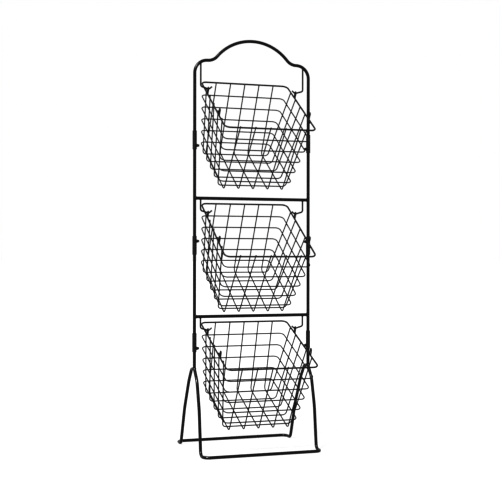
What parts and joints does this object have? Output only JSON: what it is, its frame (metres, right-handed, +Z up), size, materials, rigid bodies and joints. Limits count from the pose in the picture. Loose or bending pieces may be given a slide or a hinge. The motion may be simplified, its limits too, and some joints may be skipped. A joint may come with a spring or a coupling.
{
  "type": "tiered wire basket stand",
  "caption": "Free-standing black wire market stand with an arched top and tilted, swinging wire baskets hung on hooks one above another.",
  "frame": {"origin": "on the floor, under the middle of the whole object's bounding box", "axes": "+X to the viewer's right, -Y to the front where the baskets tip down, +Z up"},
  "size_m": [0.327, 0.3396, 1.08],
  "materials": {
    "rod_coat": "satin powder coat",
    "sleeve_coat": "satin powder coat",
    "hook_coat": "satin powder coat",
    "screw_coat": "semi-gloss enamel",
    "rim_coat": "satin powder coat",
    "wire_coat": "satin powder coat"
  },
  "bodies": {
    "stand": {"top_arch": "rod_coat", "upper_upright_left": "rod_coat", "upper_upright_right": "rod_coat", "lower_upright_left": "rod_coat", "lower_upright_right": "rod_coat", "upper_crossbar": "rod_coat", "lower_crossbar": "rod_coat", "front_leg_loop": "rod_coat", "rear_leg_loop": "rod_coat", "sleeve_top_left": "sleeve_coat", "sleeve_top_right": "sleeve_coat", "sleeve_middle_left": "sleeve_coat", "sleeve_middle_right": "sleeve_coat", "sleeve_bottom_left": "sleeve_coat", "sleeve_bottom_right": "sleeve_coat", "hook_top_left": "hook_coat", "hook_top_right": "hook_coat", "hook_middle_left": "hook_coat", "hook_middle_right": "hook_coat", "hook_bottom_left": "hook_coat", "hook_bottom_right": "hook_coat"},
    "basket_top": {"basket_top_rim": "rim_coat", "basket_top_long_wires": "wire_coat", "basket_top_cross_wires": "wire_coat", "basket_top_hang_loops": "rim_coat", "basket_top_hoop_1": "wire_coat", "basket_top_hoop_2": "wire_coat", "basket_top_hoop_3": "wire_coat", "basket_top_hoop_4": "wire_coat", "basket_top_hoop_5": "wire_coat"},
    "basket_middle": {"basket_middle_rim": "rim_coat", "basket_middle_long_wires": "wire_coat", "basket_middle_cross_wires": "wire_coat", "basket_middle_hang_loops": "rim_coat", "basket_middle_hoop_1": "wire_coat", "basket_middle_hoop_2": "wire_coat", "basket_middle_hoop_3": "wire_coat", "basket_middle_hoop_4": "wire_coat", "basket_middle_hoop_5": "wire_coat"},
    "basket_bottom": {"basket_bottom_rim": "rim_coat", "basket_bottom_long_wires": "wire_coat", "basket_bottom_cross_wires": "wire_coat", "basket_bottom_hang_loops": "rim_coat", "basket_bottom_hoop_1": "wire_coat", "basket_bottom_hoop_2": "wire_coat", "basket_bottom_hoop_3": "wire_coat", "basket_bottom_hoop_4": "wire_coat", "basket_bottom_hoop_5": "wire_coat"},
    "lock_screw_top_left": {"lock_screw_top_left": "screw_coat"},
    "lock_screw_top_right": {"lock_screw_top_right": "screw_coat"},
    "lock_screw_middle_left": {"lock_screw_middle_left": "screw_coat"},
    "lock_screw_middle_right": {"lock_screw_middle_right": "screw_coat"},
    "lock_screw_bottom_left": {"lock_screw_bottom_left": "screw_coat"},
    "lock_screw_bottom_right": {"lock_screw_bottom_right": "screw_coat"}
  },
  "joints": [
    {"name": "basket_top_swing", "type": "hinge", "parent": "stand", "child": "basket_top", "pos_m": [0, -0.00218, 0.94562], "axis": [1, 0, 0], "range_deg": [-33.8, 26.2]},
    {"name": "basket_middle_swing", "type": "hinge", "parent": "stand", "child": "basket_middle", "pos_m": [0, -0.00218, 0.62312], "axis": [1, 0, 0], "range_deg": [-33, 27]},
    {"name": "basket_bottom_swing", "type": "hinge", "parent": "stand", "child": "basket_bottom", "pos_m": [0, -0.00218, 0.31781], "axis": [1, 0, 0], "range_deg": [-23.5, 36.5]},
    {"name": "lock_screw_top_left_turn", "type": "hinge", "parent": "stand", "child": "lock_screw_top_left", "pos_m": [-0.1527, -0.00218, 0.79712], "axis": [1, 0, 0], "continuous": true},
    {"name": "lock_screw_top_right_turn", "type": "hinge", "parent": "stand", "child": "lock_screw_top_right", "pos_m": [0.1527, -0.00218, 0.79712], "axis": [-1, 0, 0], "continuous": true},
    {"name": "lock_screw_middle_left_turn", "type": "hinge", "parent": "stand", "child": "lock_screw_middle_left", "pos_m": [-0.1527, -0.00218, 0.54912], "axis": [1, 0, 0], "continuous": true},
    {"name": "lock_screw_middle_right_turn", "type": "hinge", "parent": "stand", "child": "lock_screw_middle_right", "pos_m": [0.1527, -0.00218, 0.54912], "axis": [-1, 0, 0], "continuous": true},
    {"name": "lock_screw_bottom_left_turn", "type": "hinge", "parent": "stand", "child": "lock_screw_bottom_left", "pos_m": [-0.1527, -0.00218, 0.27131], "axis": [1, 0, 0], "continuous": true},
    {"name": "lock_screw_bottom_right_turn", "type": "hinge", "parent": "stand", "child": "lock_screw_bottom_right", "pos_m": [0.1527, -0.00218, 0.27131], "axis": [-1, 0, 0], "continuous": true}
  ]
}
